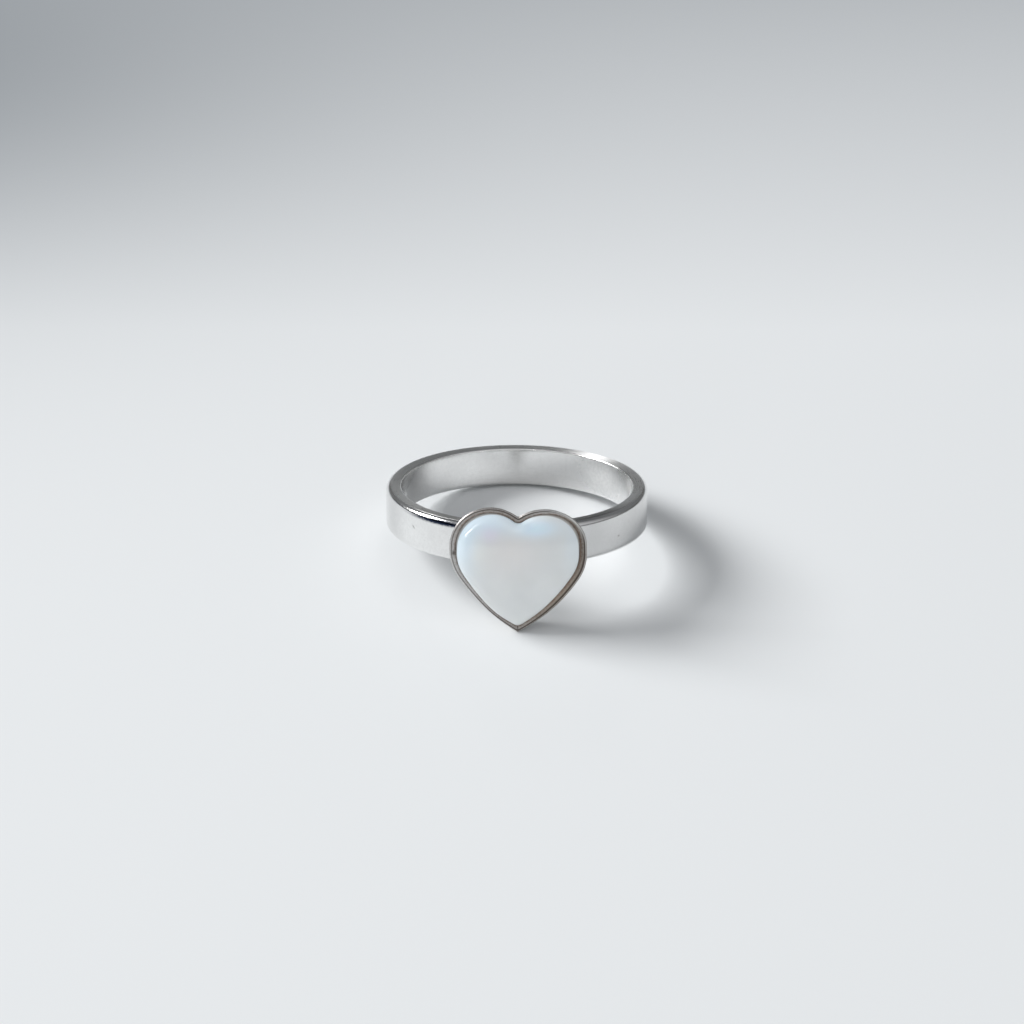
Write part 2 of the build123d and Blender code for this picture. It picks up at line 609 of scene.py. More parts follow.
# %% Seam
seam_side_reach = 0.16
seam_wedge_reach = 0.7
seam_arc = 6
buried = 0.04
wander = 0.25  # share of the reach that comes and goes
wander_pace = 1.7
wander_slice = 3.1  # any number gives another wander
wedge_angle = math.atan2(patch_half, plate_back)
buried_corner = (0.5, -0.3, 0.0)
seam_section = [(k / seam_arc, 0, 1.0) for k in range(seam_arc + 1)] + [buried_corner]


def seam_ring(place, outwards):
    """A hollow fillet between the plate and the band, and a corner buried in the metal."""
    wedge_share = abs(outwards.x)
    reach = seam_side_reach + (seam_wedge_reach - seam_side_reach) * wedge_share
    reach *= 1 + wander * noise.noise(Vector((place.x, place.y, wander_slice)) * wander_pace)
    corner = on_face(place, cup_depth)
    along_plate = Vector((outwards.x, 0, outwards.y))
    curve = Vector((math.copysign(math.cos(wedge_angle), outwards.x), math.sin(wedge_angle), 0))
    along_band = Vector((0, 1, 0)).lerp(curve, wedge_share).normalized()
    ring = []
    for k in range(seam_arc + 1):
        share = k / seam_arc
        near_plate, near_band = (1 - share) ** 2, share**2
        ring.append(corner + (along_plate * near_plate + along_band * near_band) * reach)
    ring.append(corner - (along_plate + along_band) * buried)
    return ring


solder_seam = skin("solder_seam", [seam_ring(*spot) for spot in seam_path()], seam_section, True)

# %% [markdown]
# ## The stone
# The stone is a low cabochon: a straight wall that sits in the pocket, a softly rounded edge and a crown
# so shallow that it looks flat until light runs over it. The crown is part of a large ball. Points near
# the edge follow the heart's outline, and further in they are drawn together towards the middle, because
# outlines set in by more and more would fold over themselves at the cleft.

# %% Stone, section
stone_inset = 0.435
stone_tip_radius = 0.47
stone_base = face_distance - pocket_depth + 0.03  # just in front of the seat
stone_edge = face_distance + 0.22  # the stone stands proud of the rim
crown_rise = 0.28
edge_fall, edge_width = 0.3, 0.8
wall_step, crown_step = 0.3, 0.2
crown_rings, roll_steps = 18, 16
crown_middle = Vector((0, (heart_top - heart_tip) / 2))
crown_reach = half_heart - stone_inset
crown_ball = (crown_reach**2 + crown_rise**2) / (2 * crown_rise)
crown_inset = stone_inset + edge_width
stone_height = stone_edge + crown_rise - stone_base

underside = (crown_inset, stone_inset + wall_step, stone_inset)
stone_section = [(inset, stone_height, 0.0) for inset in underside]
stone_section += [(stone_inset, edge_fall + wall_step * k, 0.0) for k in (2, 1)]
for step in range(roll_steps + 1):
    angle = math.pi / 2 * step / roll_steps
    inset = stone_inset + edge_width * (1 - math.cos(angle))
    stone_section.append((inset, edge_fall * (1 - math.sin(angle)), math.sin(2 * angle)))
crown_section = [(crown_inset + crown_step * k, 0, 0.0) for k in range(1, crown_rings)]
print(f"the stone is {stone_height:.2f} mm high, on a ball of {crown_ball:.0f} mm radius")

# %% [markdown]
# ## Laying the stone
# The section's second number says how far below the crown a point lies, so the rounded edge and the crown
# are one smooth surface. The points of the underside would reach past the base, and are held at it. The
# stone follows the same opening as the rim, which keeps the gap between them even.

# %% Stone
def crown_distance(point):
    """How far in front of the ring's centre the crown is at a point of the heart."""
    above_ball_centre = math.sqrt(crown_ball**2 - (point - crown_middle).length_squared)
    return stone_edge + crown_rise - crown_ball + above_ball_centre


def stone_point(point, below=0.0):
    """A point of the stone, below its crown but not below its base."""
    return Vector((point.x, -max(crown_distance(point) - below, stone_base), point.y))


def stone_rings():
    """The stone's section at each station, carried on over the crown to near the middle."""
    outlines = []
    for inset, _, _ in stone_section:
        outlines.append(heart_outline(inset, max(tip_ease, stone_tip_radius + stone_inset - inset)))
    rings = []
    for station, (place, _) in enumerate(heart_outline(0, tip_ease)):
        ring = []
        for (inset, below, _), outline in zip(stone_section, outlines):
            point, outwards = outline[station]
            fade = 1 - (inset - stone_inset) / edge_width
            ring.append(stone_point(point + outwards * opening(place) * fade, below))
        edge = outlines[-1][station][0]
        for k in range(1, crown_rings):
            ring.append(stone_point(edge.lerp(crown_middle, k / crown_rings)))
        rings.append(ring)
    return rings


caps = [Vector((0, -stone_base, crown_middle.y)), stone_point(crown_middle)]
milky_cabochon = skin("milky_cabochon", stone_rings(), stone_section + crown_section, False, caps=caps)

# %% [markdown]
# ## Building blocks for finishes
# A finish is a small network of nodes. A painted image would be quicker to make, but it would tie the
# finish to one mesh and one size, and a network doesn't. Writing out every node and link would bury the
# finish in bookkeeping, so a few helpers place them. A socket knows the network it belongs to, so most
# helpers needn't be told where they are.

# %% Placing nodes
def is_socket(value):
    """True for a node's socket, False for a number or a colour."""
    return isinstance(value, bpy.types.NodeSocket)


def tree_of(values):
    """The network that the sockets among these values belong to."""
    return next(value.id_data for value in values if is_socket(value))


def add_node(tree, kind, inputs=None, **options):
    """Adds a node. Its inputs are numbers, or sockets to link from."""
    node = tree.nodes.new(kind)
    for option, value in options.items():
        setattr(node, option, value)
    for name, value in (inputs or {}).items():
        if is_socket(value):
            tree.links.new(value, node.inputs[name])
        else:
            node.inputs[name].default_value = value
    return node


def split(vector):
    """The X, Y and Z of a vector."""
    return add_node(vector.id_data, "ShaderNodeSeparateXYZ", {0: vector}).outputs


print("ready: add_node and split")

# %% [markdown]
# ## Arithmetic on sockets
# Sums and products are nodes too. With the helpers below a network reads from top to bottom like ordinary
# arithmetic, which is easier to follow than the same nodes drawn as a web.

# %% Arithmetic
def calculate(operation, *values):
    """The result of one step of arithmetic on numbers and sockets."""
    inputs = dict(enumerate(values))
    return add_node(tree_of(values), "ShaderNodeMath", inputs, operation=operation).outputs[0]


def times(first, second):
    """The product of two values."""
    return calculate("MULTIPLY", first, second)


def add_part(base, value, part):
    """The base and a part of another value, added up."""
    return calculate("MULTIPLY_ADD", value, part, base)


def on_vectors(operation, first, second=(0, 0, 0)):
    """The result of one step of arithmetic on vectors. LENGTH gives a number."""
    inputs = {0: first, 1: second}
    node = add_node(first.id_data, "ShaderNodeVectorMath", inputs, operation=operation)
    return node.outputs["Value" if operation == "LENGTH" else "Vector"]


def rescale(value, low, high, to_low=0.0, to_high=1.0):
    """A value moved from one range to another, and kept inside it."""
    ends = {"Value": value, "From Min": low, "From Max": high, "To Min": to_low, "To Max": to_high}
    return add_node(value.id_data, "ShaderNodeMapRange", ends).outputs["Result"]


print("ready: sums and ranges")

# %% [markdown]
# ## One colour over another
# Dirt, wear and tints are all a colour laid over another, as thickly as a mask says, so this helper does
# most of the work. Blender's Mix node has several sockets with the same name, one for each kind of value,
# so they are picked by their identifiers.

# %% Tinting
def tint(share, first, second):
    """The first colour passing into the second as the share goes from 0 to 1."""
    tree = share.id_data
    mix = add_node(tree, "ShaderNodeMix", data_type="RGBA")
    sockets = {socket.identifier: socket for socket in (*mix.inputs, *mix.outputs)}
    tree.links.new(share, sockets["Factor_Float"])
    for identifier, colour in (("A_Color", first), ("B_Color", second)):
        if is_socket(colour):
            tree.links.new(colour, sockets[identifier])
        else:
            sockets[identifier].default_value = (*colour, 1)
    return sockets["Result_Color"]


print("ready: tint")

# %% [markdown]
# ## Node groups
# Three effects come back in several finishes: the fine lines that brushing leaves, slow clouds of haze
# and handling, and one soft spot at a known place. Each is built once as a node group with named inputs,
# and placed in a finish with its own values. With copies of the nodes in every finish, each change would
# have to be made four times.

# %% Starting and using a group
def start_group(name, inputs, output):
    """An empty group with its named inputs, (name, kind, default), and the one number that it gives."""
    group = bpy.data.node_groups.new(name, "ShaderNodeTree")
    for socket_name, kind, default in inputs:
        socket = group.interface.new_socket(socket_name, in_out="INPUT", socket_type=f"NodeSocket{kind}")
        socket.default_value = default
    group.interface.new_socket(output, in_out="OUTPUT", socket_type="NodeSocketFloat")
    given = group.nodes.new("NodeGroupInput").outputs
    gives = group.nodes.new("NodeGroupOutput").inputs
    return group, given, gives


def use_group(group, inputs):
    """Places a group beside the sockets that feed it, and returns what it gives."""
    return add_node(tree_of(inputs.values()), "ShaderNodeGroup", inputs, node_tree=group).outputs[0]


print("ready: start_group and use_group")

# %% [markdown]
# ## Grain
# Brushing drags grit along the metal and leaves fine parallel lines. Noise that is stretched along the
# strip's own direction looks the same, and unlike real scratches in the mesh it costs no faces. The group
# takes the length and width of the lines in millimetres, and gives their depth, from 0 to 1, for the
# bump, the roughness and the colour.

# %% Grain group
grain_group, given, gives = start_group(
    "brushed grain",
    [("Strip", "Vector", (0, 0, 0)), ("Line Length", "Float", 2.0), ("Line Width", "Float", 0.03)],
    "Depth",
)
strip_place = split(given["Strip"])
lines_along = calculate("DIVIDE", strip_place[0], given["Line Length"])
lines_across = calculate("DIVIDE", strip_place[1], given["Line Width"])
stretched = add_node(grain_group, "ShaderNodeCombineXYZ", {0: lines_along, 1: lines_across}).outputs[0]
line_noise = {"Vector": stretched, "Scale": 1.0, "Detail": 3.0, "Roughness": 0.6, "Distortion": 0.2}
line_depth = add_node(grain_group, "ShaderNodeTexNoise", line_noise).outputs["Fac"]
grain_group.links.new(rescale(line_depth, 0.3, 0.7), gives["Depth"])


def brushed_grain(strip, length, width):
    """The depth of brush lines of this length and width, in millimetres."""
    return use_group(grain_group, {"Strip": strip, "Line Length": length, "Line Width": width})


print(f"{grain_group.name}: {len(grain_group.nodes)} nodes")

# %% [markdown]
# ## Clouds
# No polished surface is even. Slow noise in the ring's own millimetres shifts brightness and roughness by
# a little. Because it is a pattern in space and not on the strip, it runs on across seams and round
# corners. With a small size the same group gives speckle.

# %% Clouds group
clouds_group, given, gives = start_group(
    "clouds",
    [("Place", "Vector", (0, 0, 0)), ("Size", "Float", 3.0), ("Fine Detail", "Float", 3.0)],
    "Amount",
)
near = on_vectors("DIVIDE", given["Place"], given["Size"])
cloud_noise = {"Vector": near, "Scale": 1.0, "Detail": given["Fine Detail"], "Roughness": 0.55}
cloud_amount = add_node(clouds_group, "ShaderNodeTexNoise", cloud_noise).outputs["Fac"]
clouds_group.links.new(rescale(cloud_amount, 0.3, 0.7), gives["Amount"])


def clouds(ring_mm, size, detail=3.0):
    """Light and dark clouds, about size millimetres across."""
    return use_group(clouds_group, {"Place": ring_mm, "Size": size, "Fine Detail": detail})


print(f"{clouds_group.name}: {len(clouds_group.nodes)} nodes")

# %% [markdown]
# ## A soft spot
# Some marks belong to one place: the blue light in a corner of the stone, or a nick in the band. The
# group gives 1 in the middle of a spot, and falls off smoothly with its own reach along each of three
# directions. It can be turned about the line from front to back, for a slanting mark. Several spots that
# do the same are kept in a list and added up.

# %% Spot group
spot_group, given, gives = start_group(
    "soft spot",
    [
        ("Place", "Vector", (0, 0, 0)),
        ("Middle", "Vector", (0, 0, 0)),
        ("Reach", "Vector", (1, 1, 1)),
        ("Turn", "Float", 0.0),
    ],
    "Strength",
)
turning = {"Vector": on_vectors("SUBTRACT", given["Place"], given["Middle"]), "Angle": given["Turn"]}
turned = add_node(spot_group, "ShaderNodeVectorRotate", turning, rotation_type="Y_AXIS").outputs[0]
distance = on_vectors("LENGTH", on_vectors("DIVIDE", turned, given["Reach"]))
fall = times(times(distance, distance), -1.0)
spot_group.links.new(calculate("EXPONENT", fall), gives["Strength"])


def soft_spot(ring_mm, middle, reach, turn=0.0):
    """1 in the middle of a spot, in ring millimetres, fading to 0 past its reach."""
    return use_group(spot_group, {"Place": ring_mm, "Middle": middle, "Reach": reach, "Turn": turn})


def spots(ring_mm, rows):
    """Soft spots added up. Each row is (middle, reach, strength)."""
    total = 0.0
    for middle, reach, strength in rows:
        total = add_part(total, soft_spot(ring_mm, middle, reach), strength)
    return total


print(f"{spot_group.name}: {len(spot_group.nodes)} nodes")

# %% [markdown]
# ## Starting and ending a finish
# Each finish is one material round one shader. It starts from what the skin left on the mesh: each
# point's place on the ring, the strip's own coordinates and the roundness. It ends with a colour, a sheen
# and a height for the bump. In between, every finish is its own.

# %% Starting and ending a finish
quarter_turn = 0.25


def start_finish(name, metallic=0):
    """A new material, its shader, and each point's place in ring millimetres."""
    finish = bpy.data.materials.new(name)
    finish.use_nodes = True
    shader = finish.node_tree.nodes["Principled BSDF"]
    shader.inputs["Metallic"].default_value = metallic
    return finish, shader, kept_on_mesh(shader, "ring_mm").outputs["Vector"]


def kept_on_mesh(shader, name):
    """What the skin keeps at each point under this name."""
    return add_node(shader.id_data, "ShaderNodeAttribute", attribute_name=name)


def strip_of(shader):
    """Millimetres along the strip and across it."""
    return add_node(shader.id_data, "ShaderNodeUVMap", uv_map="grain").outputs["UV"]


def stretch_highlights(shader, strength):
    """Stretches highlights across brush lines that run along the strip."""
    shader.inputs["Anisotropic"].default_value = strength
    shader.inputs["Anisotropic Rotation"].default_value = quarter_turn
    tangent = add_node(shader.id_data, "ShaderNodeTangent", direction_type="UV_MAP", uv_map="grain")
    shader.id_data.links.new(tangent.outputs[0], shader.inputs["Tangent"])


def end_finish(finish, shader, colour, sheen, height, bump_depth):
    """Links the colour, the sheen and a bump to the shader. The bump's depth is in millimetres."""
    tree = shader.id_data
    tree.links.new(colour, shader.inputs["Base Color"])
    tree.links.new(sheen, shader.inputs["Roughness"])
    bump_inputs = {"Height": height, "Distance": bump_depth / 1000, "Strength": 1.0}
    bump = add_node(tree, "ShaderNodeBump", bump_inputs)
    tree.links.new(bump.outputs["Normal"], shader.inputs["Normal"])
    print(f"{finish.name}: {len(tree.nodes)} nodes")


print(f"{len(bpy.data.node_groups)} groups are ready for the finishes")

# %% [markdown]
# ## Satin silver
# The band's walls were polished and have dulled with wear. Silver has hardly any colour of its own: what
# it shows is the room, so an even grey would look like plastic. Slow clouds pass between a greyer and a
# whiter silver. Over them lie painted shade, where the walls mirror shade, painted highlights, where
# they mirror the lit floor, and a fine frost. These painted places are kept in short lists, one by one.

# %% Satin silver, painted shade and highlights
satin_silver, shader, ring_mm = start_finish("satin_silver", metallic=1)
haze = clouds(ring_mm, 2.2)
greyer_silver, whiter_silver = (0.84, 0.835, 0.825), (0.92, 0.915, 0.905)
silver = tint(haze, greyer_silver, whiter_silver)

# Painted shade: darker places on the walls where they mirror shade, most of all the shadowed floor at the
# right.
wall_shade_grey = (0.56, 0.56, 0.56)
painted_shade_places = [  # (middle, reach, strength)
    ((-9.2, -3.2, 0.0), (1.2, 2.6, 3.0), 0.5),
    ((6.2, -7.4, 0.0), (3.6, 3.6, 3.0), 0.45),
    ((5.2, -8.3, 0.0), (1.5, 1.5, 3.0), 0.35),
    ((9.0, -3.8, 0.0), (1.6, 3.2, 3.0), 0.45),
    ((-4.6, 7.3, 0.3), (2.5, 2.0, 1.5), 0.35),
    ((3.6, 7.8, 0.3), (2.0, 2.0, 1.5), 0.2),
]
silver = tint(spots(ring_mm, painted_shade_places), silver, wall_shade_grey)

# Painted highlights: a light patch on the inner wall at the back right and one on the outer wall at the
# front left, where the walls mirror the lit floor.
highlight_silver = (0.98, 0.98, 0.97)
painted_highlight_inside = soft_spot(ring_mm, (6.6, 5.6, 0.3), (2.4, 2.6, 1.5))
painted_highlight_outside = soft_spot(ring_mm, (-7.5, -6.0, -0.3), (2.0, 2.0, 2.0))
silver = tint(add_part(painted_highlight_inside, painted_highlight_outside, 0.9), silver, highlight_silver)

frosted_silver = (0.50, 0.50, 0.50)
frost = rescale(clouds(ring_mm, 0.22, 5.0), 0.2, 0.9, 0.0, 0.16)
silver = tint(frost, silver, frosted_silver)
print(f"{len(painted_shade_places)} dulled places")

# %% [markdown]
# ## Tarnished places, painted shade and dark edges
# Low inside the back of the band and far inside on the left the silver is darker: tarnished where no
# cloth reaches, and painted shade where the wall mirrors the shadowed floor. The edge inside the front is
# painted dark too, painted shade over its highlight. Along the outer edge at the front left runs a
# blue-black line, a painted reflection of the dark horizon, ragged and broken up. It is a spot drawn out
# long and thin, torn by small clouds, and held off the inner wall by its distance from the ring's axis.

# %% Satin silver, tarnished places and painted shade
# Tarnished places and painted shade: darker low inside the back and far inside on the left.
tarnish_and_shade = (0.30, 0.29, 0.285)
tarnish_and_shade_places = [  # (middle, reach, strength)
    ((-7.9, 3.4, 0.2), (1.3, 2.2, 1.5), 0.4),
    ((0.4, 8.65, -1.5), (5.0, 1.6, 1.0), 0.65),
]
silver = tint(spots(ring_mm, tarnish_and_shade_places), silver, tarnish_and_shade)

# Painted shade: the edge inside the front is darkened over its highlight.
inner_edge_grey = (0.25, 0.25, 0.25)
front_inner_edge_shade = soft_spot(ring_mm, (-1.5, -8.2, 1.5), (7.0, 2.0, 0.25))
silver = tint(times(front_inner_edge_shade, 0.7), silver, inner_edge_grey)

# Painted reflection: a ragged blue-black line along the outer edge at the front left.
blue_black = (0.02, 0.03, 0.06)
dark_edge_reflection = soft_spot(ring_mm, (-5.6, -8.0, 1.17), (2.9, 2.6, 0.16))
dark_edge_reflection = times(dark_edge_reflection, rescale(clouds(ring_mm, 0.12), 0.2, 0.8, 0.65, 1.2))
from_axis = on_vectors("LENGTH", on_vectors("MULTIPLY", ring_mm, (1, 1, 0)))
dark_edge_reflection = times(dark_edge_reflection, rescale(from_axis, 9.2, 9.4))
silver = tint(rescale(dark_edge_reflection, 0.05, 0.6), silver, blue_black)
print(f"{len(tarnish_and_shade_places)} tarnished places and two dark edges")

# %% [markdown]
# ## Nicks and sheen
# A knock has left one small slanting nick on the left of the outer wall and a dot on the right. They are
# dents in the bump with a darker floor, far too small to model. The sheen is smooth with fine lines in
# it, and turns soft at the painted highlight on the inner wall, so that patch glows instead of mirroring.

# %% Satin silver, nicks and sheen
nick_floor = (0.35, 0.34, 0.33)
nick_depth = 6.0  # times the depth of the fine lines
nick_left = soft_spot(ring_mm, (-7.6, -6.2, 0.2), (0.04, 0.5, 0.13), turn=0.6)
nick_right = soft_spot(ring_mm, (7.4, -6.4, -0.35), (0.06, 0.5, 0.06))
nicks = calculate("ADD", nick_left, nick_right)
silver = tint(nicks, silver, nick_floor)

fine_lines = brushed_grain(strip_of(shader), 3.0, 0.04)
sheen = add_part(rescale(fine_lines, 0, 1, 0.10, 0.15), haze, 0.06)
sheen = add_part(sheen, painted_highlight_inside, 0.32)
end_finish(satin_silver, shader, silver, sheen, add_part(fine_lines, nicks, -nick_depth), bump_depth=0.001)

# %% [markdown]
# ## Brushed sides
# The band's flat sides were rubbed on a fine file, so they are duller than the walls, with lines that run
# round the ring. Highlights on such metal stretch across the lines. The shader's anisotropy does that by
# itself, where modelled scratches would need millions of faces. Near the heart the sides carry painted
# shade over their highlights, at the left and right painted light, and at the back right one stretch has a
# painted white highlight and is rougher.

# %% Brushed sides
brushed_silver, shader, ring_mm = start_finish("brushed_silver", metallic=1)
stretch_highlights(shader, 0.75)
lines = brushed_grain(strip_of(shader), 2.5, 0.03)
line_floor, line_top = (0.66, 0.66, 0.65), (0.82, 0.82, 0.81)
silver = tint(lines, line_floor, line_top)

# Painted shade: the sides near the heart are darkened, which dims their highlights.
side_shade_grey = (0.24, 0.24, 0.235)
painted_side_shade = [  # (middle, reach, strength)
    ((-5.6, -7.4, 1.5), (4.0, 3.0, 0.8), 0.9),
    ((5.6, -7.4, 1.5), (4.0, 3.0, 0.8), 1.0),
]
silver = tint(spots(ring_mm, painted_side_shade), silver, side_shade_grey)

# Painted light: the sides at the left and right are lightened.
light_silver = (0.95, 0.95, 0.94)
painted_side_light = [  # (middle, reach, strength)
    ((-9.2, -0.5, 1.5), (2.2, 5.0, 1.0), 1.0),
    ((9.2, -0.5, 1.5), (2.2, 5.0, 1.0), 1.0),
]
silver = tint(spots(ring_mm, painted_side_light), silver, light_silver)

# Painted highlight: one white stretch of the side at the back right, which is also rougher.
whitest_silver = (1.0, 1.0, 1.0)
painted_highlight_back = soft_spot(ring_mm, (6.0, 7.0, 1.5), (2.3, 1.8, 0.6))
silver = tint(painted_highlight_back, silver, whitest_silver)
sheen = add_part(rescale(lines, 0, 1, 0.24, 0.30), clouds(ring_mm, 1.6), 0.06)
sheen = add_part(sheen, painted_highlight_back, 0.2)
end_finish(brushed_silver, shader, silver, sheen, lines, bump_depth=0.002)

# %% [markdown]
# ## Darkened rim
# The rim has been heated, pressed and filed, and has kept a brown-grey skin. It is made in layers: first
# the skin with its brush lines and speckle, then lighter places on the lower left, the left side, the right
# lobe and the tip, then a tanned stretch on the lower right. Towards the back of the cup's wall the skin
# thins out, and on the corners a cloth has taken most of it off.

# %% Rim, skin and lighter places
darkened_rim, shader, ring_mm = start_finish("darkened_rim", metallic=1)
stretch_highlights(shader, 0.4)
strip = strip_of(shader)
roundness = kept_on_mesh(shader, "roundness").outputs["Fac"]
lines = brushed_grain(strip, 0.8, 0.03)
haze = clouds(ring_mm, 0.9)
speckle = clouds(ring_mm, 0.13, 4.0)
dark_skin, light_skin, speck_brown = (0.25, 0.225, 0.20), (0.46, 0.43, 0.41), (0.18, 0.15, 0.125)
rim_colour = tint(lines, dark_skin, light_skin)
rim_colour = tint(rescale(speckle, 0.45, 0.9, 0.0, 0.7), rim_colour, speck_brown)

lighter_rim_metal = (0.70, 0.69, 0.68)
lighter_rim_places = [  # (middle, reach, strength)
    ((-3.6, -10.9, -2.9), (2.6, 3.0, 5.0), 1.0),
    ((2.0, -10.9, 3.2), (1.9, 3.0, 0.8), 0.6),
    ((-4.7, -10.9, -0.8), (1.4, 3.0, 3.0), 0.3),
    ((0.0, -10.9, -5.8), (0.9, 3.0, 0.7), 0.25),
]
lighter_rim = times(spots(ring_mm, lighter_rim_places), rescale(speckle, 0.0, 1.0, 1.0, 0.55))
rim_colour = tint(lighter_rim, rim_colour, lighter_rim_metal)

tan_brown = (0.40, 0.32, 0.25)
tanned = soft_spot(ring_mm, (3.2, -10.9, -3.2), (2.4, 3.0, 2.8))
rim_colour = tint(times(tanned, 0.5), rim_colour, tan_brown)

wall_silver, corner_silver = (0.62, 0.61, 0.60), (0.85, 0.85, 0.86)
behind_face = calculate("ADD", split(ring_mm)["Y"], face_distance)
rim_colour = tint(rescale(behind_face, 0.2, 1.3, 0.0, 0.8), rim_colour, wall_silver)
rim_colour = tint(times(roundness, rescale(haze, 0, 1, 0.6, 1.0)), rim_colour, corner_silver)
print(f"{len(lighter_rim_places)} places rubbed bare")

# %% [markdown]
# ## Dirt and painted shade on the rim
# The corner at the stone is dark with dirt and painted shade of the gap beside the stone, more at the
# right and the top than at the lower left, and in blotches, not as a drawn line. The corner's roundness
# is -1, so it can be told from the polished ones. Other lines run along the rim, each a groove that
# follows the strip at a set distance from the rim's start. On the right lobe the outer line gives way to
# a painted highlight band with a band of painted shade inside it, dark and speckled.

# %% Rim, dirt and painted shade in the corner, and bands
def groove(strip, middle, half_width):
    """1 along a line that runs with the strip, fading to 0 on both sides of it."""
    away = calculate("ABSOLUTE", calculate("SUBTRACT", split(strip)["Y"], middle))
    return rescale(away, 0.0, half_width, 1.0, 0.0)


corner_brown, line_brown = (0.20, 0.14, 0.10), (0.20, 0.135, 0.10)
light_metal, dark_brown = (0.78, 0.79, 0.77), (0.13, 0.105, 0.085)
side_to_side, tip_to_top = split(ring_mm)["X"], split(ring_mm)["Z"]
darker_right = rescale(side_to_side, -1.0, 2.5, 0.1, 0.7)
darker_top = rescale(tip_to_top, -0.5, 1.5, 0.1, 0.7)
blotches = rescale(clouds(ring_mm, 0.28, 4.0), 0.25, 0.75, 0.35, 1.15)
# Dirt and painted shade: the corner at the stone is darker, more at the right and the top.
corner_dirt_and_shade = times(rescale(roundness, 0, -1), calculate("MAXIMUM", darker_right, darker_top))
rim_colour = tint(times(corner_dirt_and_shade, blotches), rim_colour, corner_brown)

# Painted highlight: a light band along the outer part of the rim on the right lobe.
on_right_lobe = soft_spot(ring_mm, (3.4, -10.9, 2.0), (2.0, 3.0, 1.8))
painted_light_band = times(groove(strip, rim_start + 0.03, 0.15), on_right_lobe)
rim_colour = tint(times(painted_light_band, 1.2), rim_colour, light_metal)
# Painted shade: a dark, speckled band inside it, on the right side of the rim.
on_right_side = soft_spot(ring_mm, (4.3, -10.9, 0.8), (1.8, 3.0, 2.4))
painted_dark_band = times(groove(strip, rim_start + 0.30, 0.22), on_right_side)
painted_dark_band = times(painted_dark_band, rescale(speckle, 0.3, 0.8, 0.6, 1.6))
rim_colour = tint(painted_dark_band, rim_colour, dark_brown)
# Dirt and painted shade: a brown line along the rim next to the stone.
brown_line = times(groove(strip, rim_start + 0.36, 0.17), blotches)
rim_colour = tint(times(brown_line, 0.8), rim_colour, line_brown)
print("three bands follow the rim")

# %% [markdown]
# ## The blackest marks and a painted dark line
# The blackest marks are a stain on the left of the rim, the mitre where its two sides meet at the tip,
# and a line just inside the outer corner, which grows towards the right; that line is painted shade, a
# dark reflection. The strongest of them wins at each point. Added up, they would be too heavy where they
# cross.

# %% Rim, black marks, painted dark line and sheen
grime_and_line_black = (0.07, 0.055, 0.045)
stain = [  # (middle, reach, strength)
    ((-4.62, -10.9, -0.1), (0.13, 0.5, 0.2), 1.0),
    ((-4.5, -10.9, 0.35), (0.08, 0.5, 0.2), 0.6),
]
mitre = soft_spot(ring_mm, (0, -10.9, -5.8), (0.035, 0.6, 0.45))
grime_and_dark_line = calculate("MAXIMUM", spots(ring_mm, stain), mitre)
# Painted shade: a dark reflection just inside the outer corner, growing towards the right.
painted_dark_line = times(groove(strip, rim_start + 0.08, 0.075), rescale(side_to_side, -5.0, 2.5, 0.4, 1.0))
painted_dark_line = times(painted_dark_line, rescale(on_right_lobe, 0.1, 0.9, 2.0, 0.3))
grime_and_dark_line = calculate("MAXIMUM", grime_and_dark_line, painted_dark_line)
rim_colour = tint(rescale(grime_and_dark_line, 0.0, 1.0, 0.0, 0.88), rim_colour, grime_and_line_black)
sheen = add_part(rescale(lines, 0, 1, 0.3, 0.4), haze, 0.1)
end_finish(darkened_rim, shader, rim_colour, sheen, lines, bump_depth=0.003)

# %% [markdown]
# ## Milky stone
# The stone is milky right through: light goes in, scatters and comes out again, under a clear polish. So
# the shader has a little scattering below the surface and a clear coat over it. More scattering would be
# truer to a thick stone, but in one this thin it would wash out the tints. The body is a cool white,
# warmer in the middle.

# %% Stone, body
milky_stone, shader, ring_mm = start_finish("milky_stone")
stone_numbers = {
    "IOR": 1.46,
    "Coat Weight": 1.0,
    "Coat Roughness": 0.03,
    "Subsurface Weight": 0.15,
    "Subsurface Radius": (1.0, 1.0, 1.2),
    "Subsurface Scale": 0.0008,  # metres
    # the emission carries the painted blue glow set further down
    "Emission Strength": 1.0,
}
for name, number in stone_numbers.items():
    shader.inputs[name].default_value = number
milk = clouds(ring_mm, 3.5, 2.0)
thin_milk, thick_milk, warm_white = (0.84, 0.87, 0.87), (0.915, 0.945, 0.945), (0.91, 0.86, 0.84)
body = tint(milk, thin_milk, thick_milk)
warm_middle = soft_spot(ring_mm, (-0.6, -11.1, 0.2), (2.2, 3.0, 1.8))
body = tint(times(warm_middle, 0.5), body, warm_white)
print(f"{len(stone_numbers)} numbers make it milky")

# %% [markdown]
# ## The stone's blue tint and painted glow
# The blue is partly the stone's own play of colour from thin layers inside it, and partly a painted
# reflection: strong at the upper left and below the cleft, faint at the right edge. The same patches give
# a faint painted glow through the shader's emission. The glow stops where the stone sinks below the rim,
# and weakens right under the cleft, where the stone is in shadow.

# %% Stone, blue light
pale_blue, cleft_blue = (0.84, 0.95, 1.0), (0.66, 0.79, 0.88)
glow_black, painted_glow_blue = (0, 0, 0), (0.035, 0.10, 0.17)
blue_patches = [  # (middle, reach, strength)
    ((-3.9, -11.1, 0.9), (1.1, 3.0, 2.6), 0.8),
    ((-2.2, -11.1, 2.4), (1.9, 3.0, 1.0), 0.7),
    ((1.25, -11.1, 1.9), (1.5, 3.0, 0.65), 0.95),
    ((4.1, -11.1, 0.8), (0.8, 3.0, 2.2), 0.25),
]
